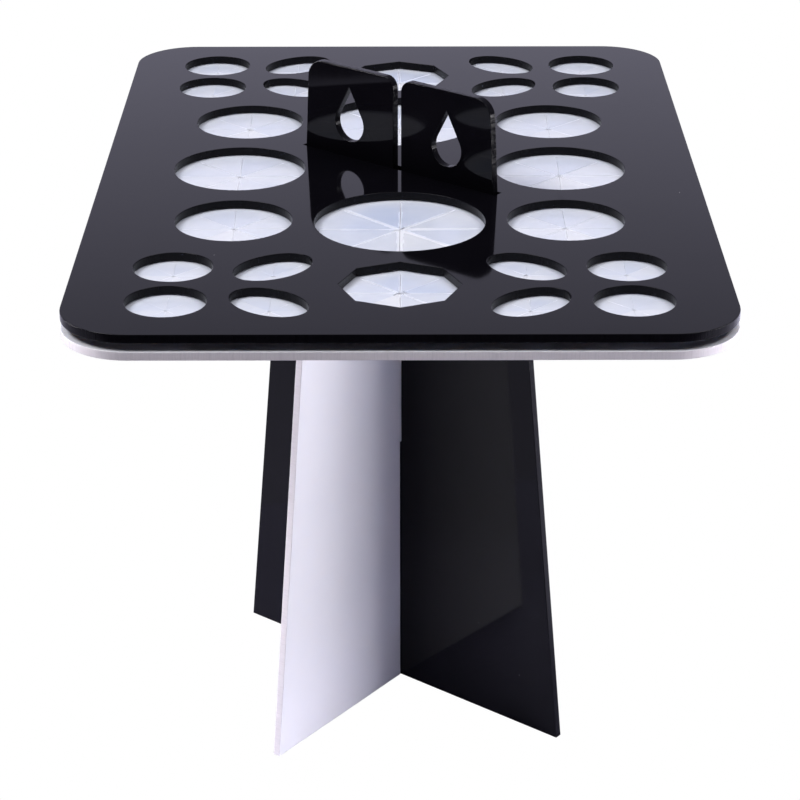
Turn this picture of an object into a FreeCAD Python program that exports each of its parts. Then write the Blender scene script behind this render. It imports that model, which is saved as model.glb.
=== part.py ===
"""Flat-pack brush drying rack: a two-plate tray with a slit membrane on a crossed-panel stand.

+Z is up and the floor is Z = 0. The origin is on the floor under the centre of the tray.
X runs across the short side of the tray, and Y along its long side. Sizes are in millimetres.
"""
import FreeCAD, Part
import math
import os
import Sketcher

V = FreeCAD.Vector
ORIGIN = (-1, 1)      # the sketch origin, as a geometry number and a point number
X_AXIS = -1
Y_AXIS = -2
START, END, CENTRE = 1, 2, 3
SIDES = (-1, 1)
NO_ANGLE = 1e-6       # cross product under which an edge runs along a direction
SAME_PLACE = 1e-3     # distance under which two points are the same
LEAST_CUT = 1.0       # cubic millimetres that every pocket has to take away
STAR_RAYS = 8         # slits in each opening's star, and corners of an octagon

# ---------------------------------------------------------------- driving dimensions

SIZES = {
    # sheet stock
    "sheet": 2.0,               # thickness of every acrylic piece, spacer discs included
    "film": 0.6,                # membrane thickness
    # tray
    "tray_x": 148.0,
    "tray_y": 217.0,
    "tray_corner": 16.0,
    "film_inset": 9.0,          # membrane edge inside the plate edge
    "film_corner": 7.0,
    # openings, measured from the centre of the tray
    "large_x": 40.0,
    "large_radius": 16.4,
    "medium_x": 39.4,
    "medium_y": 37.9,
    "medium_radius": 13.95,
    "small_x": 51.3,
    "small_far_y": 89.4,
    "small_near_y": 68.5,
    "small_radius": 9.1,
    "oval_x": 28.7,
    "oval_far_y": 89.9,
    "oval_near_y": 68.5,
    "oval_long": 10.2,
    "oval_short": 6.9,
    "oval_turn": 42.0,
    "centre_y": 38.4,
    "centre_radius": 20.3,
    "octagon_y": 79.3,
    "octagon_radius": 13.8,
    # membrane slits
    "slit": 0.3,
    "slit_margin": 0.8,         # from the end of a slit to the rim of its opening
    # spacer discs
    "disc_radius": 3.5,
    "disc_play": 0.2,           # between a disc and its hole in the membrane
    "disc_side_x": 64.5,
    "disc_side_y": 79.0,
    "disc_inner_x": 8.5,
    "disc_inner_y": 62.5,
    # stand
    "black_turn": 39.4,         # from the X axis to the black panel, whose front end is to the right
    "white_turn": 53.2,         # from the X axis to the white panel, whose front end is to the left
    "shoulder": 139.0,          # height the tray rests at
    "foot_half": 53.5,          # half the panel's width on the floor
    "black_shoulder_half": 38.2,    # half the black panel's width under the tray
    "white_shoulder_half": 37.5,
    "lap": 2.5,                 # width of the half-lap slots
    "lap_black": 69.5,          # floor of the black panel's slot
    "lap_white": 70.0,          # roof of the white panel's slot
    "tab_half": 30.5,           # from the centre to the outer edge of a tab, at the shoulder
    "tab_top_half": 28.9,       # the same at the tab's top, since a tab narrows upwards
    "tab_top": 168.3,
    "tab_outer_round": 4.6,
    "tab_inner_round": 3.0,
    "tab_slot_half": 31.0,
    "tab_slot": 2.5,
    "film_slot_play": 0.6,
    # teardrop cut-out in each tab
    "drop_u": 15.6,
    "drop_z": 153.6,
    "drop_radius": 4.6,
    "drop_tip": 9.6,            # from the centre of the round end to the point
}

doc = FreeCAD.newDocument("BrushRack")
sheet = doc.addObject("Spreadsheet::Sheet", "Sizes")
for row, (alias, number) in enumerate(SIZES.items(), start=1):
    sheet.set("A%d" % row, alias)
    sheet.set("B%d" % row, str(number))
    sheet.setAlias("B%d" % row, alias)
doc.recompute()


def size(expression):
    """The number that an expression over the sheet's aliases gives."""
    value = sheet.evalExpression(expression)
    return float(getattr(value, "Value", value))


def bound(expression):
    """The same expression with each alias qualified, for use outside the sheet."""
    words = expression
    for alias in sorted(SIZES, key=len, reverse=True):
        parts = words.split(alias)
        words = ("@%d@" % list(SIZES).index(alias)).join(parts)
    for number, alias in enumerate(SIZES):
        words = words.replace("@%d@" % number, "Sizes." + alias)
    return words


# ---------------------------------------------------------------- sketch helpers

def new_body(label):
    body = doc.addObject("PartDesign::Body", label)
    body.Label = label
    return body


def sketch_on(body, name, role="XY_Plane"):
    """A sketch on one of the body's own origin planes."""
    plane = next(f for f in body.Origin.OriginFeatures if f.Role == role)
    sketch = body.newObject("Sketcher::SketchObject", name)
    sketch.AttachmentSupport = [(plane, "")]
    sketch.MapMode = "FlatFace"
    return sketch


def bind(sketch, constraint, expression):
    number = sketch.addConstraint(constraint)
    sketch.setExpression("Constraints[%d]" % number, bound(expression))


def place(sketch, geometry, point, across, along):
    """Hold a point at (across, along) from the sketch origin, both bound to the sheet."""
    for kind, expression, axis in (("DistanceX", across, Y_AXIS), ("DistanceY", along, X_AXIS)):
        value = size(expression)
        if value == 0:
            sketch.addConstraint(Sketcher.Constraint("PointOnObject", geometry, point, axis))
        elif value > 0:
            bind(sketch, Sketcher.Constraint(kind, *ORIGIN, geometry, point, value), expression)
        else:
            opposite = "-(%s)" % expression
            bind(sketch, Sketcher.Constraint(kind, geometry, point, *ORIGIN, -value), opposite)


def polygon(sketch, corners):
    """A closed outline through corners, each a pair of expressions."""
    spots = [V(size(a), size(b), 0) for a, b in corners]
    lines = []
    for here, there in zip(spots, spots[1:] + spots[:1]):
        lines.append(sketch.addGeometry(Part.LineSegment(here, there)))
    for line, after in zip(lines, lines[1:] + lines[:1]):
        sketch.addConstraint(Sketcher.Constraint("Coincident", line, END, after, START))
    for line, (across, along) in zip(lines, corners):
        place(sketch, line, START, across, along)


def rectangle(sketch, half_x, half_y):
    signs = ((-1, -1), (1, -1), (1, 1), (-1, 1))
    polygon(sketch, [("%d * (%s)" % (i, half_x), "%d * (%s)" % (j, half_y)) for i, j in signs])


def circle(sketch, across, along, radius):
    centre = V(size(across), size(along), 0)
    ring = sketch.addGeometry(Part.Circle(centre, V(0, 0, 1), size(radius)))
    bind(sketch, Sketcher.Constraint("Radius", ring, size(radius)), radius)
    place(sketch, ring, CENTRE, across, along)


def ellipse(sketch, across, along, long_half, short_half, turn):
    """An ellipse whose long axis is turned from the X axis, held through its two diameters."""
    centre = V(size(across), size(along), 0)
    angle = math.radians(size(turn))
    long_way = V(math.cos(angle), math.sin(angle), 0)
    short_way = V(-math.sin(angle), math.cos(angle), 0)
    ring = sketch.addGeometry(Part.Ellipse(
        centre + long_way * size(long_half), centre + short_way * size(short_half), centre))
    sketch.exposeInternalGeometry(ring)
    long_line, short_line = ring + 1, ring + 2
    long_size, short_size = 2 * size(long_half), 2 * size(short_half)
    bind(sketch, Sketcher.Constraint("Distance", long_line, long_size), "2 * " + long_half)
    bind(sketch, Sketcher.Constraint("Distance", short_line, short_size), "2 * " + short_half)
    line = sketch.Geometry[long_line]
    rise = line.EndPoint - line.StartPoint
    facing = math.atan2(rise.y, rise.x)
    sketch.addConstraint(Sketcher.Constraint("Angle", long_line, facing))
    place(sketch, ring, CENTRE, across, along)


def teardrop(sketch, across, along, radius, tip):
    """A round end with two straight flanks that meet in a point above it."""
    centre = V(size(across), size(along), 0)
    opening = math.asin(size(radius) / size(tip))
    point = centre + V(0, size(tip), 0)
    right = centre + V(math.cos(opening), math.sin(opening), 0) * size(radius)
    left = centre + V(-math.cos(opening), math.sin(opening), 0) * size(radius)
    whole = Part.Circle(centre, V(0, 0, 1), size(radius))
    arc = sketch.addGeometry(Part.ArcOfCircle(whole, math.pi - opening, 2 * math.pi + opening))
    rise = sketch.addGeometry(Part.LineSegment(right, point))
    fall = sketch.addGeometry(Part.LineSegment(point, left))
    sketch.addConstraint(Sketcher.Constraint("Tangent", arc, END, rise, START))
    sketch.addConstraint(Sketcher.Constraint("Coincident", rise, END, fall, START))
    sketch.addConstraint(Sketcher.Constraint("Tangent", fall, END, arc, START))
    bind(sketch, Sketcher.Constraint("Radius", arc, size(radius)), radius)
    place(sketch, arc, CENTRE, across, along)
    place(sketch, rise, END, across, "%s + %s" % (along, tip))


def pad(body, sketch, name, length, both_ways=False):
    solid = body.newObject("PartDesign::Pad", name)
    solid.Profile = sketch
    solid.setExpression("Length", bound(length))
    if both_ways:
        solid.SideType = "Symmetric"
    doc.recompute()
    return solid


def pocket(body, sketch, name):
    """Cut the sketch through the whole body, both ways, and make sure that it cut something."""
    before = body.Shape.Volume
    cut = body.newObject("PartDesign::Pocket", name)
    cut.Profile = sketch
    cut.Type = "ThroughAll"
    cut.SideType = "Symmetric"
    doc.recompute()
    assert body.Shape.Volume < before - LEAST_CUT, "%s cut nothing" % name
    return cut


def round_corners(body, base, name, radius, spots, way):
    """Round the edges that run along way through the given spots, in the body's own frame."""
    names = []
    for number, edge in enumerate(base.Shape.Edges, start=1):
        if len(edge.Vertexes) != 2:
            continue
        run = edge.Vertexes[1].Point - edge.Vertexes[0].Point
        if run.cross(way).Length > NO_ANGLE:
            continue
        middle = edge.CenterOfMass
        flat = middle - way * middle.dot(way)
        if any((flat - spot).Length < SAME_PLACE for spot in spots):
            names.append("Edge%d" % number)
    assert len(names) == len(spots), "%s found %d of %d corners" % (name, len(names), len(spots))
    fillet = body.newObject("PartDesign::Fillet", name)
    fillet.Base = (base, names)
    fillet.setExpression("Radius", bound(radius))
    doc.recompute()
    return fillet


# ---------------------------------------------------------------- tray

def signed(expression, sign):
    return "%d * %s" % (sign, expression)


def tray_openings():
    """Every opening as (shape, across, along, sizes), in expressions over the sheet."""
    openings = []
    for i in SIDES:
        openings.append(("circle", signed("large_x", i), "0", "large_radius"))
        openings.append(("circle", "0", signed("centre_y", i), "centre_radius"))
        openings.append(("octagon", "0", signed("octagon_y", i), "octagon_radius"))
        for j in SIDES:
            openings.append(("circle", signed("medium_x", i), signed("medium_y", j), "medium_radius"))
            for ring in ("near", "far"):
                small_y = signed("small_%s_y" % ring, j)
                oval_y = signed("oval_%s_y" % ring, j)
                openings.append(("circle", signed("small_x", i), small_y, "small_radius"))
                # the ovals point away from the middle of their cluster of four openings
                lean = i * j if ring == "near" else -i * j
                openings.append(("ellipse", signed("oval_x", i), oval_y, signed("oval_turn", lean)))
    return openings


def cut_openings(body):
    round_sketch = sketch_on(body, body.Label + "_openings_sketch")
    eight_sketch = sketch_on(body, body.Label + "_octagons_sketch")
    for shape, across, along, detail in tray_openings():
        if shape == "circle":
            circle(round_sketch, across, along, detail)
        elif shape == "ellipse":
            ellipse(round_sketch, across, along, "oval_long", "oval_short", detail)
        else:
            corners = []
            for step in range(STAR_RAYS):
                turn = "%d" % (90 + step * 360 / STAR_RAYS)
                corners.append(("%s * cos(%s)" % (detail, turn),
                                "%s + %s * sin(%s)" % (along, detail, turn)))
            polygon(eight_sketch, corners)
    doc.recompute()
    pocket(body, round_sketch, body.Label + "_openings")
    return pocket(body, eight_sketch, body.Label + "_octagons")


def cut_tab_slot(body, half_long, half_wide):
    slot = sketch_on(body, body.Label + "_tab_slot_sketch")
    slot.AttachmentOffset = FreeCAD.Placement(V(), FreeCAD.Rotation(V(0, 0, 1), -size("black_turn")))
    slot.setExpression("AttachmentOffset.Rotation.Yaw", bound("-black_turn"))
    rectangle(slot, half_long, half_wide)
    doc.recompute()
    return pocket(body, slot, body.Label + "_tab_slot")


def rounded_sheet(body, half_x, half_y, thickness, corner):
    outline = sketch_on(body, body.Label + "_outline")
    rectangle(outline, half_x, half_y)
    doc.recompute()
    blank = pad(body, outline, body.Label + "_blank", thickness)
    across, along = size(half_x), size(half_y)
    spots = [V(i * across, j * along, 0) for i in SIDES for j in SIDES]
    return round_corners(body, blank, body.Label + "_corners", corner, spots, V(0, 0, 1))


def plate(label, height):
    body = new_body(label)
    rounded_sheet(body, "tray_x / 2", "tray_y / 2", "sheet", "tray_corner")
    cut_openings(body)
    cut_tab_slot(body, "tab_slot_half", "tab_slot / 2")
    body.setExpression("Placement.Base.z", bound(height))
    return body


def spacer_spots():
    """Name and place of each spacer disc between the plates."""
    spots = []
    for i, side in zip(SIDES, ("left", "right")):
        spots.append(("spacer_%s_middle" % side, signed("disc_side_x", i), "0"))
        for j, end in zip(SIDES, ("front", "back")):
            outer = (signed("disc_side_x", i), signed("disc_side_y", j))
            inner = (signed("disc_inner_x", i), signed("disc_inner_y", j))
            spots.append(("spacer_%s_%s" % (side, end), *outer))
            spots.append(("spacer_inner_%s_%s" % (side, end), *inner))
    return spots


def spacer(label, across, along, height):
    body = new_body(label)
    outline = sketch_on(body, label + "_outline")
    circle(outline, across, along, "disc_radius")
    doc.recompute()
    pad(body, outline, label + "_disc", "sheet")
    body.setExpression("Placement.Base.z", bound(height))
    return body


def reach(shape, detail, angle):
    """Distance from the centre of an opening to its rim in the direction angle."""
    if shape == "circle":
        return size(detail)
    if shape == "ellipse":
        turned = angle - math.radians(size(detail))
        long_part = math.cos(turned) / size("oval_long")
        short_part = math.sin(turned) / size("oval_short")
        return 1 / math.hypot(long_part, short_part)
    eighth = 2 * math.pi / STAR_RAYS
    from_side_middle = angle % eighth - eighth / 2
    return size(detail) * math.cos(eighth / 2) / math.cos(from_side_middle)


def slit_star(shape, across, along, detail):
    """Slits from the centre of an opening to just inside its rim, as one cutting solid.

    Each bar makes two opposite slits, and is deeper than the film so that it cuts right through.
    """
    bars = []
    width, depth = size("slit"), size("film")
    for step in range(STAR_RAYS // 2):
        angle = step * 2 * math.pi / STAR_RAYS
        length = 2 * (reach(shape, detail, angle) - size("slit_margin"))
        bar = Part.makeBox(length, width, 3 * depth, V(-length / 2, -width / 2, -depth))
        bar.rotate(V(), V(0, 0, 1), math.degrees(angle))
        bars.append(bar)
    star = bars[0].multiFuse(bars[1:])
    star.translate(V(size(across), size(along), 0))
    return star


def membrane(label, height):
    """The soft sheet under the top plate: cleared round the discs and tabs, and slit in each opening."""
    blank = new_body(label + "_uncut")
    rounded_sheet(blank, "tray_x / 2 - film_inset", "tray_y / 2 - film_inset", "film", "film_corner")
    discs = sketch_on(blank, "membrane_disc_holes_sketch")
    for _, across, along in spacer_spots():
        circle(discs, across, along, "disc_radius + disc_play")
    doc.recompute()
    pocket(blank, discs, "membrane_disc_holes")
    cut_tab_slot(blank, "tab_slot_half + film_slot_play", "tab_slot / 2 + film_slot_play")
    slits = doc.addObject("Part::Feature", "membrane_slits")
    slits.Shape = Part.makeCompound([slit_star(*opening) for opening in tray_openings()])
    film = doc.addObject("Part::Cut", label)
    film.Base = blank
    film.Tool = slits
    film.Label = label
    film.setExpression("Placement.Base.z", bound(height))
    doc.recompute()
    return film


# ---------------------------------------------------------------- stand

def panel(label, corners, turn):
    """A stand panel drawn in its own upright plane and turned about the Z axis."""
    body = new_body(label)
    outline = sketch_on(body, label + "_outline", "XZ_Plane")
    polygon(outline, corners)
    doc.recompute()
    pad(body, outline, label + "_blank", "sheet", both_ways=True)
    body.Placement = FreeCAD.Placement(V(), FreeCAD.Rotation(V(0, 0, 1), size(turn)))
    body.setExpression("Placement.Rotation.Yaw", bound(turn))
    return body


def mirrored_outline(right_side):
    """A whole outline from its right half, listed from the bottom up."""
    left_side = [("-(%s)" % across, along) for across, along in reversed(right_side)]
    return right_side + left_side


def black_panel():
    corners = mirrored_outline([
        ("foot_half", "0"),
        ("black_shoulder_half", "shoulder"),
        ("tab_half", "shoulder"),
        ("tab_top_half", "tab_top"),
        ("lap / 2", "tab_top"),
        ("lap / 2", "lap_black"),
    ])
    body = panel("black_panel", corners, "-black_turn")
    through = V(0, 1, 0)
    top = size("tab_top")
    outer = [V(i * size("tab_top_half"), 0, top) for i in SIDES]
    inner = [V(i * size("lap / 2"), 0, top) for i in SIDES]
    rounded = round_corners(body, body.Tip, "tab_outer_corners", "tab_outer_round", outer, through)
    round_corners(body, rounded, "tab_inner_corners", "tab_inner_round", inner, through)
    drops = sketch_on(body, "teardrops_sketch", "XZ_Plane")
    for i in SIDES:
        teardrop(drops, signed("drop_u", i), "drop_z", "drop_radius", "drop_tip")
    doc.recompute()
    pocket(body, drops, "teardrops")
    return body


def white_panel():
    corners = mirrored_outline([
        ("lap / 2", "lap_white"),
        ("lap / 2", "0"),
        ("foot_half", "0"),
        ("white_shoulder_half", "shoulder"),
    ])
    return panel("white_panel", corners, "white_turn")


# ---------------------------------------------------------------- assembly

lower_top = "shoulder + sheet"
upper_bottom = "shoulder + 2 * sheet"

pieces = [
    black_panel(),
    white_panel(),
    plate("lower_plate", "shoulder"),
    plate("top_plate", upper_bottom),
    membrane("star_membrane", upper_bottom + " - film"),
]
pieces += [spacer(label, across, along, lower_top) for label, across, along in spacer_spots()]
doc.recompute()

for item in doc.Objects:
    assert not {"Invalid", "Error"} & set(item.State), "%s failed: %s" % (item.Name, item.State)
for piece in pieces:
    assert not piece.Shape.isNull() and piece.Shape.isValid(), "%s has no valid shape" % piece.Label
    assert len(piece.Shape.Solids) == 1, "%s isn't one solid" % piece.Label

os.makedirs("parts", exist_ok=True)
for piece in pieces:
    piece.Shape.exportStep("parts/%s.step" % piece.Label)
    print("%-28s %10.1f mm3" % (piece.Label, piece.Shape.Volume))
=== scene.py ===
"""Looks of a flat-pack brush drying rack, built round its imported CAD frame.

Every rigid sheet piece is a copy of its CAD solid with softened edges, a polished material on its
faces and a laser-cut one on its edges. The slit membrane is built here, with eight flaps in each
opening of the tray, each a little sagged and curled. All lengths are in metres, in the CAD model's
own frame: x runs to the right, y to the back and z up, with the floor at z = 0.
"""
import math
import random

import bmesh
import bpy
from mathutils import Euler, Matrix, Vector


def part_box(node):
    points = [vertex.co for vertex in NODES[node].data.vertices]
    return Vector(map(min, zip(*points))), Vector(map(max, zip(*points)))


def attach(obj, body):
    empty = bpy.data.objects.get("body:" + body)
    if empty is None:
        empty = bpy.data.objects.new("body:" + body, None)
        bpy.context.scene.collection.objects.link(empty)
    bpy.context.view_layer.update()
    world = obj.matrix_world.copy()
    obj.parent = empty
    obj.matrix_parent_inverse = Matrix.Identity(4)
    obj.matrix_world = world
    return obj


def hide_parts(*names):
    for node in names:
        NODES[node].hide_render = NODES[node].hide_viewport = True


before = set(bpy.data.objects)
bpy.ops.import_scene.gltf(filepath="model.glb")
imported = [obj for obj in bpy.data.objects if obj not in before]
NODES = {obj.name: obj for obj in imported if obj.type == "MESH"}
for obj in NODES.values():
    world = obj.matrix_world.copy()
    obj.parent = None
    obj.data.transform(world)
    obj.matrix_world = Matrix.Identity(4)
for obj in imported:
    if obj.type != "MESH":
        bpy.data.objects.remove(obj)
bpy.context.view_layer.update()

MM = 0.001
SCENE = bpy.context.scene
RANDOM = random.Random(26)          # places, bends and shades of the flaps
SLIT_HIGHLIGHT_RANDOM = random.Random(8)      # painted highlight along the single slits, how white each is drawn


# ---------------------------------------------------------------- node helpers

def new_material(name):
    material = bpy.data.materials.new(name)
    material.use_nodes = True
    tree = material.node_tree
    return material, tree, tree.nodes["Principled BSDF"]


def set_inputs(tree, node, inputs):
    """Set some of a node's inputs to values, or link them to other nodes' outputs."""
    for key, value in inputs.items():
        if isinstance(value, bpy.types.NodeSocket):
            tree.links.new(value, node.inputs[key])
        else:
            node.inputs[key].default_value = value


def add_node(tree, kind, settings=None, inputs=None):
    """Add a node, then give it its own settings and its inputs."""
    node = tree.nodes.new(kind)
    for key, value in (settings or {}).items():
        setattr(node, key, value)
    set_inputs(tree, node, inputs or {})
    return node


def maths(tree, operation, first, second=0.0, clamp=False):
    settings = {"operation": operation, "use_clamp": clamp}
    return add_node(tree, "ShaderNodeMath", settings, {0: first, 1: second}).outputs[0]


def weighted(tree, first, first_weight, second, second_weight):
    """The sum of two values, each times its weight."""
    return maths(tree, "ADD", maths(tree, "MULTIPLY", first, first_weight),
                 maths(tree, "MULTIPLY", second, second_weight))


def vector_maths(tree, operation, first, second, output="Vector"):
    settings = {"operation": operation}
    return add_node(tree, "ShaderNodeVectorMath", settings, {0: first, 1: second}).outputs[output]


def ramp(tree, value, low, high, start=0.0, end=1.0):
    """start at low, end at high, straight between them and clamped outside."""
    inputs = {"Value": value, "From Min": low, "From Max": high, "To Min": start, "To Max": end}
    return add_node(tree, "ShaderNodeMapRange", None, inputs).outputs["Result"]


def noise(tree, place, scale, detail, roughness):
    inputs = {"Vector": place, "Scale": scale, "Detail": detail, "Roughness": roughness}
    return add_node(tree, "ShaderNodeTexNoise", None, inputs).outputs["Fac"]


def object_place(tree):
    return add_node(tree, "ShaderNodeTexCoord").outputs["Object"]


def blend_colours(tree, amount, first, second):
    """first where amount is 0, second where it is 1."""
    # a Mix node's colours are its inputs 6 and 7 and its output 2
    inputs = {0: amount, 6: first, 7: second}
    return add_node(tree, "ShaderNodeMix", {"data_type": "RGBA"}, inputs).outputs[2]


def bumped(tree, relief):
    """A normal bent by relief, a height in millimetres."""
    inputs = {"Strength": 1.0, "Distance": MM, "Height": relief}
    return add_node(tree, "ShaderNodeBump", None, inputs).outputs["Normal"]


# ---------------------------------------------------------------- acrylic

# "face" and "edge" are where a pattern is weakest, "face_far" and "edge_far" where it is strongest
BLACK = {
    "face": (0.0022, 0.0020, 0.0030, 1), "face_far": (0.0032, 0.0029, 0.0042, 1),
    "edge": (0.0022, 0.0020, 0.0030, 1), "edge_far": (0.0050, 0.0046, 0.0062, 1),
    "face_rough": 0.035, "edge_rough": 0.10, "ripple": 0.006, "dust": 0.5, "glow": 0.0,
    "ior": 1.27, "edge_shine": 0.28,
}
WHITE = {
    "face": (0.83, 0.83, 0.86, 1), "face_far": (0.80, 0.80, 0.835, 1),
    "edge": (0.74, 0.70, 0.72, 1), "edge_far": (0.63, 0.595, 0.615, 1),
    "face_rough": 0.07, "edge_rough": 0.32, "ripple": 0.006, "dust": 0.0, "glow": 0.25,
    "ior": 1.49, "edge_shine": 0.5,
}

# each pattern's noise: its scale, in cells to the metre, its detail and its roughness
RIPPLE = (55.0, 1.0, 0.5)
SMEAR = (28.0, 4.0, 0.62)
HAIRLINE = (900.0, 2.0, 0.5)
RIBS = (2600.0, 3.0, 0.6)
# the values between which a pattern goes from nothing to its full strength
SMEAR_SPAN, POLISH_SPAN, RIB_SPAN = (0.35, 0.75), (0.45, 0.95), (0.3, 0.7)

HAIRLINE_SHARE = 0.3            # how much the fine scratches count beside the smears
DULLEST_FACE = 2.2              # roughness of the worst smear, beside the clean face's
RIB_ROUGH = (0.6, 1.5)          # roughness between and on the ribs, beside the edge's own
RIB_HEIGHT = 0.06               # in millimetres
RIB_STRAIGHT = 0.93             # 1 would make the ribs exactly the same all through the sheet
DUST_SCALE = 190.0              # cells of the dust's lattice to the metre
DUST_RIM = (0.030, 0.015)       # where a speck begins and is whole, in cells from its middle
DUST_CHOICE = (0.90, 0.93)      # only cells whose random value is above these have a speck
DUST_COLOUR = (0.55, 0.55, 0.56, 1)
DUST_ROUGH = 0.5
GLOW_COLOURS = (1.0, 0.95, 0.9)
GLOW_DEPTH = 1.5 * MM           # how far light spreads inside a glowing sheet


def start_acrylic(name, look):
    """What the faces and the cut edges of an acrylic sheet have in common."""
    material, tree, shader = new_material(name)
    shader.inputs["IOR"].default_value = look["ior"]
    if look["glow"]:
        shader.inputs["Subsurface Weight"].default_value = look["glow"]
        shader.inputs["Subsurface Radius"].default_value = GLOW_COLOURS
        shader.inputs["Subsurface Scale"].default_value = GLOW_DEPTH
    place = object_place(tree)
    ripple = maths(tree, "MULTIPLY", noise(tree, place, *RIPPLE), look["ripple"])
    return material, tree, shader, place, ripple


def dust_specks(tree, place):
    """One small speck in some of the cells of a loose lattice."""
    cells = add_node(tree, "ShaderNodeTexVoronoi", None, {"Vector": place, "Scale": DUST_SCALE})
    chosen = add_node(tree, "ShaderNodeSeparateColor", None, {0: cells.outputs["Color"]})
    near = ramp(tree, cells.outputs["Distance"], *DUST_RIM)
    picked = ramp(tree, chosen.outputs[0], *DUST_CHOICE)
    return maths(tree, "MULTIPLY", near, picked)


def finish_acrylic(tree, shader, place, dustiness, colour, rough, relief):
    """Lay dust over a colour and a roughness, and shape the surface by relief, in millimetres."""
    if dustiness:
        dust = dust_specks(tree, place)
        shown = maths(tree, "MULTIPLY", dust, dustiness)
        colour = blend_colours(tree, shown, colour, DUST_COLOUR)
        rough = maths(tree, "ADD", rough, maths(tree, "MULTIPLY", dust, DUST_ROUGH), True)
    normal = bumped(tree, relief)
    set_inputs(tree, shader, {"Base Color": colour, "Roughness": rough, "Normal": normal})


def polished_face(name, look):
    """The glossy face of a cast acrylic sheet, faintly rippled and smeared."""
    material, tree, shader, place, ripple = start_acrylic(name, look)
    smear = noise(tree, place, *SMEAR)
    hairline = maths(tree, "MULTIPLY", noise(tree, place, *HAIRLINE), HAIRLINE_SHARE)
    colour = blend_colours(tree, ramp(tree, smear, *SMEAR_SPAN), look["face"], look["face_far"])
    clean = look["face_rough"]
    worn = maths(tree, "ADD", smear, hairline)
    rough = ramp(tree, worn, *POLISH_SPAN, clean, clean * DULLEST_FACE)
    finish_acrylic(tree, shader, place, look["dust"], colour, rough, ripple)
    return material


def laser_cut_edge(name, look, sheet_way):
    """The frosted edge of a cut sheet, ribbed straight through it along sheet_way."""
    material, tree, shader, place, ripple = start_acrylic(name, look)
    # the ribs hardly change through the sheet, so the place is flattened along its thickness
    depth = vector_maths(tree, "DOT_PRODUCT", place, sheet_way, "Value")
    through = add_node(tree, "ShaderNodeVectorMath", {"operation": "SCALE"},
                       {0: sheet_way, "Scale": maths(tree, "MULTIPLY", depth, RIB_STRAIGHT)})
    flattened = vector_maths(tree, "SUBTRACT", place, through.outputs["Vector"])
    ribs = noise(tree, flattened, *RIBS)
    colour = blend_colours(tree, ramp(tree, ribs, *RIB_SPAN), look["edge"], look["edge_far"])
    between, on_rib = [look["edge_rough"] * share for share in RIB_ROUGH]
    rough = ramp(tree, ribs, *RIB_SPAN, between, on_rib)
    relief = maths(tree, "ADD", maths(tree, "MULTIPLY", ribs, RIB_HEIGHT), ripple)
    finish_acrylic(tree, shader, place, look["dust"], colour, rough, relief)
    shader.inputs["Specular IOR Level"].default_value = look["edge_shine"]
    return material


# ---------------------------------------------------------------- silicone

# the film's milk, from blue where a flap's painted shade is deepest to white
BLUE_MILK, WHITE_MILK = (0.55, 0.63, 0.82, 1), (0.91, 0.915, 0.935, 1)
# white of the painted highlight along the slits, where their lifted cut edges would catch the light
SLIT_HIGHLIGHT_WHITE = (0.95, 0.95, 0.97, 1)
SLIT_HIGHLIGHT_SHARE = 0.7             # painted highlight: how far a cut edge's colour goes to the white of its glint
CLOUD, GRAIN = (120.0, 3.0, 0.55), (1500.0, 2.0, 0.5)     # noises, as for the acrylic
SHADE_WEIGHT, CLOUD_WEIGHT = 0.65, 0.35
TONE_SPAN = (0.1, 0.85)         # tones, painted shade and cloud together, between which the milk goes from blue to white
SEE_THROUGH = (0.25, 0.05)      # share of light let through by the plain film and by a cut edge
FILM_ROUGH, CLOUD_ROUGH, CUT_ROUGH = 0.14, 0.15, 0.3
CLOUD_HEIGHT, GRAIN_HEIGHT = 0.10, 0.01     # in millimetres
SILICONE_IOR = 1.41


def silicone(name):
    """Milky silicone film that lets some light through, duller along its cut edges; a painted
    highlight whitens the cut edges and painted shade turns flaps blue.
    """
    material, tree, shader = new_material(name)
    place = object_place(tree)
    cut = add_node(tree, "ShaderNodeAttribute", {"attribute_name": "cut"}).outputs["Fac"]
    shade = add_node(tree, "ShaderNodeAttribute", {"attribute_name": "shade"}).outputs["Fac"]
    cloud = noise(tree, place, *CLOUD)
    grain = noise(tree, place, *GRAIN)
    # painted shade: the flaps' shade attribute, mixed with a cloudy noise, turns the milk from
    # white to blue
    tone = weighted(tree, shade, SHADE_WEIGHT, cloud, CLOUD_WEIGHT)
    milk = blend_colours(tree, ramp(tree, tone, *TONE_SPAN), BLUE_MILK, WHITE_MILK)
    # painted highlight: the cut edges' colour is whitened for the glint of their lifted edges
    slit_highlight = maths(tree, "MULTIPLY", cut, SLIT_HIGHLIGHT_SHARE)
    uneven = weighted(tree, cloud, CLOUD_ROUGH, cut, CUT_ROUGH)
    set_inputs(tree, shader, {
        "Base Color": blend_colours(tree, slit_highlight, milk, SLIT_HIGHLIGHT_WHITE),
        "Transmission Weight": ramp(tree, cut, 0.0, 1.0, *SEE_THROUGH),
        "Roughness": maths(tree, "ADD", uneven, FILM_ROUGH, True),
        "Normal": bumped(tree, weighted(tree, cloud, CLOUD_HEIGHT, grain, GRAIN_HEIGHT)),
        "IOR": SILICONE_IOR,
    })
    return material


# ---------------------------------------------------------------- rigid sheet pieces

SAME_POINT = 0.001 * MM
FLAT_BEND = math.radians(0.4)   # faces that bend less than this are made one
SHARP_BEND = math.radians(30)   # edges that bend more than this are rounded
EDGE_BREAK = 0.14 * MM
CUT_SLOPE = 0.6                 # cosine to the sheet's way below which a face is cut edge


def link(piece):
    SCENE.collection.objects.link(piece)
    return piece


def broadest_way(mesh):
    """The normal that the largest area of the mesh faces, which is the way through a flat sheet."""
    areas = {}
    for face in mesh.polygons:
        key = tuple(round(abs(part), 2) for part in face.normal)
        total, normal = areas.get(key, (0.0, face.normal.copy()))
        areas[key] = (total + face.area, normal)
    return max(areas.values(), key=lambda entry: entry[0])[1]


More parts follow.
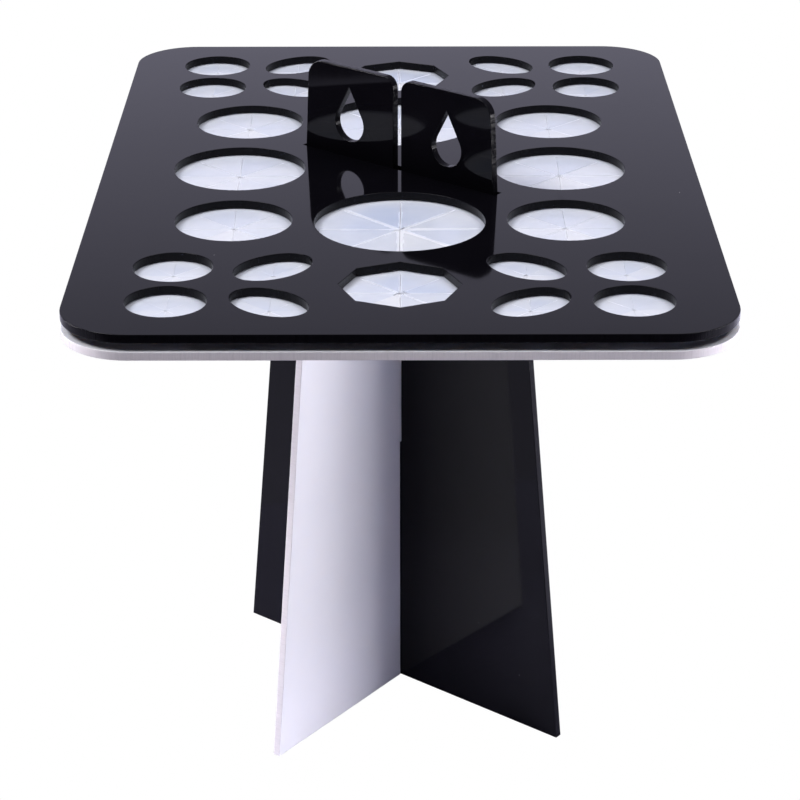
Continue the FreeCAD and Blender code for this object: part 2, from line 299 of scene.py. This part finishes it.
def softened_copy(node_name):
    """A copy of a CAD sheet piece whose sharp edges are rounded by a fine break."""
    mesh = NODES[node_name].data.copy()
    mesh.name = node_name + "_finished"
    mesh.materials.clear()
    shape = bmesh.new()
    shape.from_mesh(mesh)
    bmesh.ops.remove_doubles(shape, verts=shape.verts, dist=SAME_POINT)
    bmesh.ops.dissolve_limit(shape, angle_limit=FLAT_BEND, verts=shape.verts, edges=shape.edges)
    sharp = [edge for edge in shape.edges
             if len(edge.link_faces) == 2 and edge.calc_face_angle() > SHARP_BEND]
    bmesh.ops.bevel(shape, geom=sharp, offset=EDGE_BREAK, segments=2, profile=0.5,
                    affect="EDGES", clamp_overlap=False)
    bmesh.ops.recalc_face_normals(shape, faces=shape.faces)
    for face in shape.faces:
        face.smooth = True
    shape.to_mesh(mesh)
    shape.free()
    # the CAD mesh's own shading marks no longer fit the new faces
    for layer in ("custom_normal", "sharp_face", "sharp_edge"):
        if layer in mesh.attributes:
            mesh.attributes.remove(mesh.attributes[layer])
    piece = link(bpy.data.objects.new(node_name + "_finished", mesh))
    shading = piece.modifiers.new("even_shading", "WEIGHTED_NORMAL")
    shading.mode = "FACE_AREA"
    shading.keep_sharp = True
    return piece


def make_sheet_piece(node_name, body, look):
    """A finished sheet piece that stands for its CAD node, with a face and an edge material."""
    piece = softened_copy(node_name)
    way = broadest_way(NODES[node_name].data)
    piece.data.materials.append(polished_face(node_name + "_face", look))
    piece.data.materials.append(laser_cut_edge(node_name + "_edge", look, way))
    for face in piece.data.polygons:
        face.material_index = int(abs(face.normal.dot(way)) < CUT_SLOPE)
    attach(piece, body)
    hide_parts(node_name)


# ---------------------------------------------------------------- outlines of the openings

UP_FACING, SIDE_FACING = 0.9, 0.5       # limits of a normal's z for a top face and for a wall
SAME_PLACE = 2 * MM


def level_loops(node_name):
    """The closed outlines round a CAD node's top face, as lists of points."""
    shape = bmesh.new()
    shape.from_mesh(NODES[node_name].data)
    bmesh.ops.remove_doubles(shape, verts=shape.verts, dist=SAME_POINT)
    follows = {}
    for face in shape.faces:
        if face.normal.z < UP_FACING:
            continue
        for loop in face.loops:
            if any(other.normal.z < SIDE_FACING for other in loop.edge.link_faces):
                follows[loop.vert.index] = loop.link_loop_next.vert.index
    shape.verts.ensure_lookup_table()
    loops = []
    while follows:
        start, number = follows.popitem()
        points = [shape.verts[start].co.copy()]
        while number != start:
            points.append(shape.verts[number].co.copy())
            number = follows.pop(number)
        loops.append(points)
    shape.free()
    return loops


def middle(points):
    """The middle of the points' box, seen from above."""
    low = [min(point[axis] for point in points) for axis in range(2)]
    high = [max(point[axis] for point in points) for axis in range(2)]
    return Vector(((low[0] + high[0]) / 2, (low[1] + high[1]) / 2))


def spread(points):
    """The largest distance of a point from their middle."""
    centre = middle(points)
    return max((point.xy - centre).length for point in points)


def rim_reach(points, centre, angle):
    """Distance from centre to the closed outline in the direction angle."""
    way = Vector((math.cos(angle), math.sin(angle)))
    side = Vector((-way.y, way.x))
    for here, there in zip(points, points[1:] + points[:1]):
        first, last = here.xy - centre, there.xy - centre
        off_first, off_last = first.dot(side), last.dot(side)
        if off_first <= 0 < off_last or off_last <= 0 < off_first:
            part = off_first / (off_first - off_last)
            distance = first.lerp(last, part).dot(way)
            if distance > 0:
                return distance
    return spread(points)


def sorted_loops():
    """The tray's brush openings, and the film's outlines that aren't openings."""
    openings = sorted(level_loops("top_plate"), key=spread)
    openings.pop()      # the largest loop is the plate's own outline
    slot = min(openings, key=lambda points: middle(points).length)
    openings.remove(slot)
    places = [middle(points) for points in openings]
    plain = [points for points in level_loops("star_membrane")
             if all((middle(points) - place).length > SAME_PLACE for place in places)]
    return openings, plain


# ---------------------------------------------------------------- membrane

SLITS = 8                       # rays in each star
# where a flap's mesh columns start, part way over it; they are closest along its slits
ACROSS = (0.0, 0.025, 0.09, 0.2, 0.35, 0.5, 0.65, 0.8, 0.91, 0.975)
STEPS_ACROSS = len(ACROSS)
STEPS_OUT = 12                  # mesh steps from a flap's tip to its root
ROOT = 0.8 * MM                 # uncut film between a slit's end and the rim
FILM_DEPTH = 0.22 * MM          # how far the film lies below the top of its CAD solid
FILM_SHARE = 0.9                # how much of the room under that level the film fills

WIDEST = 20.3 * MM              # radius of a centre opening, whose slits are the most worn
SIDE_USE = 0.5                  # how much the openings beside the middle row are used
GAP = 0.04 * MM                 # half the width of an opened slit, in a centre opening
TIP_CLEARANCE = 2.4             # how many gaps a flap's tip stays away from the star's hub
GAP_TAPER = 3                   # the slit narrows over the last 1/3 of its length
SLIT_HIGHLIGHT_BAND = 0.30 * MM            # how far the painted highlight of a cut edge reaches into a flap
BAND_FLARE = 1.8                # how many times that it is at the tip; at the root it is 1 less
SLIT_HIGHLIGHT_RANGE = (0.4, 2.2)         # width and strength of a single slit's painted highlight, beside those

HUB_SHIFT = 0.012               # how far the hub may be off the middle, as a part of the radius
ANGLE_SHIFT = 0.018             # how far a slit may be turned, in radians
SAG_RANGE = (-0.006, 0.004)     # height of a flap's tip, as a part of the radius
CURL_RANGE = (-0.012, 0.012)    # the same for one side of a flap against its middle
LIFT_POWER = 1.6                # how early a flap lies flat again towards its root
CURL_TAPER = 3                  # the curl comes in over the first 1/3 from the tip

CHANCE_PAINTED_SHADE = 0.45             # the most that chance adds to a flap's painted shade, as its tilt would catch the light
FACING_PAINTED_SHADE = 0.275            # half of what pointing to the front adds; painted shade and painted reflection make flaps that face the back darker and bluer
RIM_SHADE, RIM_POWER = 0.7, 4   # shade of the film at the rim, and how late a flap turns to it
CALM_SHADE = 0.88               # painted shade of a flap that was hardly ever bent
BACK_WAY = Vector((0, 1))


def flap_lift(out, sag, curl, across):
    """How far a flap's surface stands above the film, from its tip (out = 0) to its root (1)."""
    free = (1 - out) ** LIFT_POWER
    return free * (sag + curl * (2 * across - 1) * min(1.0, CURL_TAPER * out))


def lay_rim(shape, shade_layer, points, centre, slit_angles, level):
    """An opening's ring of uncut film. Returns its vertices at the rim and at the flaps' roots."""
    rims, roots = [], []
    closed = slit_angles + [slit_angles[0] + 2 * math.pi]
    for start, end in zip(closed, closed[1:]):
        for part_way in ACROSS:
            angle = start + (end - start) * part_way
            reach = rim_reach(points, centre, angle)
            way = Vector((math.cos(angle), math.sin(angle)))
            for ring, distance in ((rims, reach), (roots, reach - ROOT)):
                spot = centre + way * distance
                ring.append(shape.verts.new((spot.x, spot.y, level)))
                ring[-1][shade_layer] = RIM_SHADE
    total = len(rims)
    for number in range(total):
        after = (number + 1) % total
        shape.faces.new((roots[number], rims[number], rims[after], roots[after]))
    return rims, roots


def lay_flap(shape, hub, roots, gap, level, sag, curl):
    """One flap between two slits. Returns its columns of vertices, each from the tip to a root."""
    first, last = roots[0].co.xy, roots[-1].co.xy
    tip = hub + ((first + last) / 2 - hub).normalized() * gap * TIP_CLEARANCE
    tip_vert = shape.verts.new((tip.x, tip.y, level + sag))
    columns = []
    for step, (across, root) in enumerate(zip(ACROSS + (1.0,), roots)):
        # the two outer columns stand back from their slits
        aside = (step == 0) - (step == STEPS_ACROSS)
        way = (root.co.xy - tip).normalized()
        column = [tip_vert]
        for ring in range(1, STEPS_OUT):
            out = ring / STEPS_OUT
            push = Vector((-way.y, way.x)) * gap * min(1.0, GAP_TAPER * (1 - out))
            spot = tip.lerp(root.co.xy, out) + push * aside
            height = level + flap_lift(out, sag, curl, across)
            column.append(shape.verts.new((spot.x, spot.y, height)))
        column.append(root)
        columns.append(column)
    for left, right in zip(columns, columns[1:]):
        shape.faces.new((tip_vert, left[1], right[1]))
        for ring in range(1, STEPS_OUT):
            shape.faces.new((left[ring], left[ring + 1], right[ring + 1], right[ring]))
    return columns


def mark_flap_with_painted_light(layers, hub, columns, use, wear, slit_highlights, chance):
    """Write on a flap its cut edges, whitened by a painted highlight, and its painted shade from
    blue (0) to white (1).
    """
    cut_and_highlight_layer, shade_layer = layers
    ways = [(column[-1].co.xy - hub).normalized() for column in (columns[0], columns[-1])]
    faces_back = (ways[0] + ways[1]).normalized().dot(BACK_WAY)
    # painted shade: random per flap, and darker and bluer on flaps that face the back
    used_painted_shade = CHANCE_PAINTED_SHADE * chance + FACING_PAINTED_SHADE * (1 - faces_back)
    shade = CALM_SHADE + (used_painted_shade - CALM_SHADE) * use
    for column in columns:
        for ring, vert in enumerate(column[:-1]):
            out = ring / STEPS_OUT
            band = SLIT_HIGHLIGHT_BAND * wear * (BAND_FLARE - out)
            offset = vert.co.xy - hub
            # painted highlight: each slit whitens a band of the flap beside it, widest at the tip
            cut_and_highlight = [(1 - abs(offset.cross(way)) / (band * highlight)) * min(1.0, highlight)
                    for way, highlight in zip(ways, slit_highlights)]
            vert[cut_and_highlight_layer] = wear * max(0.0, *cut_and_highlight)
            vert[shade_layer] = shade + (RIM_SHADE - shade) * out ** RIM_POWER


def build_star(shape, layers, points, level):
    """One opening's eight flaps. Returns its rim vertices, in order round the opening."""
    centre, radius = middle(points), spread(points)
    use = 1.0 if abs(centre.x) < radius else SIDE_USE
    wear = use * radius / WIDEST
    hub = centre + Vector((RANDOM.uniform(-1, 1), RANDOM.uniform(-1, 1))) * HUB_SHIFT * radius
    slit_angles = [2 * math.pi * ray / SLITS + RANDOM.uniform(-ANGLE_SHIFT, ANGLE_SHIFT)
                   for ray in range(SLITS)]
    slit_highlights = [SLIT_HIGHLIGHT_RANDOM.uniform(*SLIT_HIGHLIGHT_RANGE) for _ in range(SLITS)]
    rims, roots = lay_rim(shape, layers[1], points, centre, slit_angles, level)
    for ray in range(SLITS):
        sag = RANDOM.uniform(*SAG_RANGE) * radius * wear
        curl = RANDOM.uniform(*CURL_RANGE) * radius * wear
        chance = RANDOM.random()
        flap_roots = [roots[(ray * STEPS_ACROSS + step) % len(roots)]
                      for step in range(STEPS_ACROSS + 1)]
        columns = lay_flap(shape, hub, flap_roots, GAP * wear, level, sag, curl)
        flap_highlights = slit_highlights[ray], slit_highlights[(ray + 1) % SLITS]
        mark_flap_with_painted_light(layers, hub, columns, use, wear, flap_highlights, chance)
    return rims


def ring_edges(shape, verts):
    return [shape.edges.get((here, there)) or shape.edges.new((here, there))
            for here, there in zip(verts, verts[1:] + verts[:1])]


def membrane_mesh(level):
    """The film's upper surface, with a star of flaps in each opening."""
    openings, plain = sorted_loops()
    shape = bmesh.new()
    layers = [shape.verts.layers.float.new(name) for name in ("cut", "shade")]
    borders = []
    for points in plain:
        border = [shape.verts.new((point.x, point.y, level)) for point in points]
        borders += ring_edges(shape, border)
    for points in openings:
        borders += ring_edges(shape, build_star(shape, layers, points, level))
    bmesh.ops.triangle_fill(shape, use_beauty=True, use_dissolve=False, edges=borders)
    bmesh.ops.recalc_face_normals(shape, faces=shape.faces)
    if sum(face.normal.z * face.calc_area() for face in shape.faces) < 0:
        bmesh.ops.reverse_faces(shape, faces=shape.faces)
    for face in shape.faces:
        face.smooth = True
    mesh = bpy.data.meshes.new("star_membrane_flaps")
    shape.to_mesh(mesh)
    shape.free()
    return mesh


def make_membrane():
    low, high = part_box("star_membrane")
    level = high.z - FILM_DEPTH
    mesh = membrane_mesh(level)
    mesh.materials.append(silicone("milky_silicone"))
    film = link(bpy.data.objects.new("star_membrane_flaps", mesh))
    body = film.modifiers.new("film_thickness", "SOLIDIFY")
    body.thickness = FILM_SHARE * (level - low.z)
    body.offset = -1
    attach(film, "tray")
    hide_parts("star_membrane")


# ---------------------------------------------------------------- studio floor and backdrop

POOL_LIGHT_LEVEL = 1.0               # painted pool of light: glow of the floor round the part, which shows as pure white
PALE_LEVEL = 0.66               # glow of the backdrop, and of the floor further away
LIGHT_POOL_HALF = 0.12                # half the painted pool of light's width beside the part
LIGHT_POOL_SPREAD = 0.1433            # how much that half widens per metre towards the back
LIGHT_POOL_FRONT, LIGHT_POOL_BACK = -0.07, 0.73
LIGHT_POOL_FADE = 0.22                # how far outside the painted pool of light the floor has turned pale
FAR = 8.0                       # half the floor's width, and the backdrop's radius

BENCH_HALF = 0.11               # half the width of the shaded bench under and behind the tray
BENCH_FRONT, BENCH_BACK = -0.085, 1.2
BENCH_ALBEDO = 0.75
STAGE_ROUGH = 0.9
GLOW_REACH = 0.55               # how far to each side the bright bench beside the tray goes
GLOW_FRONT, GLOW_BACK = -0.32, 0.42
GLOW_STRIPS = {"left": (-1, 0.75), "right": (1, 1.6)}   # the way each strip lies, and its glow
COOL = (0.80, 0.78, 1.0)        # tint of the light that comes off the room and the bench


def box_corners(left, right, front, back):
    return [(left, front), (right, front), (right, back), (left, back)]


def flat_stage(name, corners, material):
    mesh = bpy.data.meshes.new(name)
    mesh.from_pydata([(x, y, 0) for x, y in corners], [], [tuple(range(len(corners)))])
    mesh.materials.append(material)
    piece = link(bpy.data.objects.new(name, mesh))
    return piece


def only_for_camera(piece):
    """Show a stage piece to the camera and keep it out of the light, shadows and reflections."""
    piece.visible_diffuse = False
    piece.visible_glossy = False
    piece.visible_transmission = False
    piece.visible_shadow = False


def stage_matter(name, level, albedo, tint=(1, 1, 1)):
    """A dull material that glows at level and reflects albedo of the light, both tinted."""
    material, tree, shader = new_material(name)
    set_inputs(tree, shader, {
        "Base Color": [albedo * part for part in tint] + [1],
        "Roughness": STAGE_ROUGH,
        "Specular IOR Level": 0.0,
        "Emission Color": [*tint, 1],
        "Emission Strength": level,
    })
    return material


def floor_with_painted_light_pool():
    """A floor with a painted pool of light: its glow falls from white, under and behind the part,
    to pale round it.
    """
    material = stage_matter("pale_floor_with_painted_light_pool", POOL_LIGHT_LEVEL, 0.0)
    tree = material.node_tree
    parts = add_node(tree, "ShaderNodeSeparateXYZ", None, {0: object_place(tree)})
    across, back = maths(tree, "ABSOLUTE", parts.outputs["X"]), parts.outputs["Y"]
    half = maths(tree, "ADD", maths(tree, "MULTIPLY", back, LIGHT_POOL_SPREAD), LIGHT_POOL_HALF)
    beside = maths(tree, "SUBTRACT", across, half)
    beyond = maths(tree, "MAXIMUM", maths(tree, "SUBTRACT", back, LIGHT_POOL_BACK),
                   maths(tree, "SUBTRACT", LIGHT_POOL_FRONT, back))
    outside = maths(tree, "MAXIMUM", beside, beyond)
    level = ramp(tree, outside, 0.0, LIGHT_POOL_FADE, POOL_LIGHT_LEVEL, PALE_LEVEL)
    tree.links.new(level, tree.nodes["Principled BSDF"].inputs["Emission Strength"])
    return material


def make_floor():
    """The floor for the camera, with its painted pool of light, and the shaded bench and bright
    strips that light the part.
    """
    only_for_camera(flat_stage("studio_floor", box_corners(-FAR, FAR, -FAR, FAR), floor_with_painted_light_pool()))
    bench = box_corners(-BENCH_HALF, BENCH_HALF, BENCH_FRONT, BENCH_BACK)
    matter = stage_matter("bench", 0.0, BENCH_ALBEDO, COOL)
    flat_stage("studio_bench", bench, matter).visible_camera = False
    for side, (way, glow) in GLOW_STRIPS.items():
        strip = box_corners(way * BENCH_HALF, way * GLOW_REACH, GLOW_FRONT, GLOW_BACK)
        matter = stage_matter(side + "_bench_light", glow, 0.0, COOL)
        flat_stage("studio_bench_" + side, strip, matter).visible_camera = False


def make_backdrop():
    """A pale sphere round everything, for the camera only."""
    shape = bmesh.new()
    bmesh.ops.create_icosphere(shape, subdivisions=3, radius=FAR)
    mesh = bpy.data.meshes.new("studio_backdrop")
    shape.to_mesh(mesh)
    shape.free()
    mesh.materials.append(stage_matter("pale_backdrop", PALE_LEVEL, 0.0))
    backdrop = link(bpy.data.objects.new("studio_backdrop", mesh))
    only_for_camera(backdrop)


# ---------------------------------------------------------------- light and camera

WALL_LEVEL, ROOM_LEVEL = 1.2, 0.02      # light off the wall behind the part, and off the dark room
# where the wall begins and where it is at its full level, in a direction's z and y
HORIZON, WALL_SIDE = (-0.02, 0.10), (0.0, 0.7)
# it is full up to WALL_LOW, and dims to WALL_DIM of that at WALL_HIGH
WALL_LOW, WALL_HIGH, WALL_DIM = 0.16, 0.42, 0.30

HIGH_AIM, LOW_AIM = (0, 0, 0.1), (0, 0, 0.07)
# name, place, aim, size, watts and colour; the low lamps stay under the tray, so that the gap
# between the plates is dark
LAMPS = (
    ("left_high_softbox", (-0.62, -0.28, 0.98), HIGH_AIM, (0.5, 0.3), 8.5, (0.95, 0.95, 1.0)),
    ("right_high_softbox", (0.62, -0.28, 0.98), HIGH_AIM, (0.5, 0.3), 4.5, (0.96, 0.95, 1.0)),
    ("top_softbox", (0, 0.1, 1.2), HIGH_AIM, (1.2, 1.0), 5.0, (0.95, 0.96, 1.0)),
    ("left_low_softbox", (-1.0, 0.0, 0.07), LOW_AIM, (0.5, 0.13), 11.0, (0.97, 0.95, 1.0)),
    ("right_low_softbox", (1.0, 0.0, 0.07), LOW_AIM, (0.5, 0.13), 3.0, (0.97, 0.95, 1.0)),
    ("right_middle_softbox", (0.97, -0.26, 0.07), LOW_AIM, (0.6, 0.13), 7.0, (0.98, 0.965, 1.0)),
    ("right_front_softbox", (0.75, -0.65, 0.07), LOW_AIM, (0.5, 0.13), 1.0, (0.82, 0.80, 1.0)),
)

LENS, SENSOR = 114.57, 36.0     # in millimetres
CLIP_NEAR, CLIP_FAR = 0.05, 30.0
CAMERA_DISTANCE = 0.6407        # from the middle of the tray's top
CAMERA_ASIDE = -0.42 * MM
CAMERA_ELEVATION = math.radians(18.873)
CAMERA_PITCH = math.radians(24.079)     # how far it looks down
CAMERA_YAW, CAMERA_ROLL = math.radians(0.042), math.radians(0.081)


def make_world():
    """A dark room in front of the part and a pale lit wall behind it, brightest near the floor."""
    world = bpy.data.worlds.new("studio_room")
    world.use_nodes = True
    SCENE.world = world
    tree = world.node_tree
    way = add_node(tree, "ShaderNodeTexCoord").outputs["Generated"]
    parts = add_node(tree, "ShaderNodeSeparateXYZ", None, {0: way})
    height = ramp(tree, parts.outputs["Z"], WALL_LOW, WALL_HIGH, 1.0, WALL_DIM)
    behind = ramp(tree, parts.outputs["Y"], *WALL_SIDE)
    above = ramp(tree, parts.outputs["Z"], *HORIZON)
    lit = maths(tree, "MULTIPLY", behind, above)
    wall = maths(tree, "MULTIPLY", maths(tree, "MULTIPLY", height, lit), WALL_LEVEL)
    glow = maths(tree, "ADD", wall, ROOM_LEVEL)
    set_inputs(tree, tree.nodes["Background"], {"Color": [*COOL, 1], "Strength": glow})


def make_lamp(name, place, aim, size, watts, colour):
    """A rectangular softbox at place that faces aim."""
    lamp = bpy.data.lights.new(name, "AREA")
    lamp.shape = "RECTANGLE"
    lamp.size, lamp.size_y = size
    lamp.energy = watts
    lamp.color = colour
    holder = link(bpy.data.objects.new(name, lamp))
    holder.location = place
    holder.rotation_euler = (Vector(aim) - Vector(place)).to_track_quat("-Z", "Y").to_euler()


def make_camera():
    """The photograph's view, from the front and above."""
    data = bpy.data.cameras.new("product_camera")
    data.sensor_width = SENSOR
    data.lens = LENS
    data.clip_start, data.clip_end = CLIP_NEAR, CLIP_FAR
    camera = link(bpy.data.objects.new("product_camera", data))
    aim = Euler((math.pi / 2 - CAMERA_PITCH, 0, -CAMERA_YAW)).to_matrix()
    camera.rotation_euler = (aim @ Matrix.Rotation(-CAMERA_ROLL, 3, "Z")).to_euler()
    tray_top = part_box("top_plate")[1].z
    back = CAMERA_DISTANCE * math.cos(CAMERA_ELEVATION)
    up = CAMERA_DISTANCE * math.sin(CAMERA_ELEVATION)
    camera.location = (CAMERA_ASIDE, -back, tray_top + up)
    SCENE.camera = camera


# ---------------------------------------------------------------- making

SCENE.view_settings.view_transform = "Standard"
make_camera()
make_world()
for lamp_row in LAMPS:
    make_lamp(*lamp_row)
make_floor()
make_backdrop()

make_sheet_piece("black_panel", "black_panel", BLACK)
make_sheet_piece("white_panel", "white_panel", WHITE)
make_sheet_piece("top_plate", "tray", BLACK)
make_sheet_piece("lower_plate", "tray", WHITE)
for disc in sorted(name for name in NODES if name.startswith("spacer")):
    make_sheet_piece(disc, "tray", WHITE)
make_membrane()
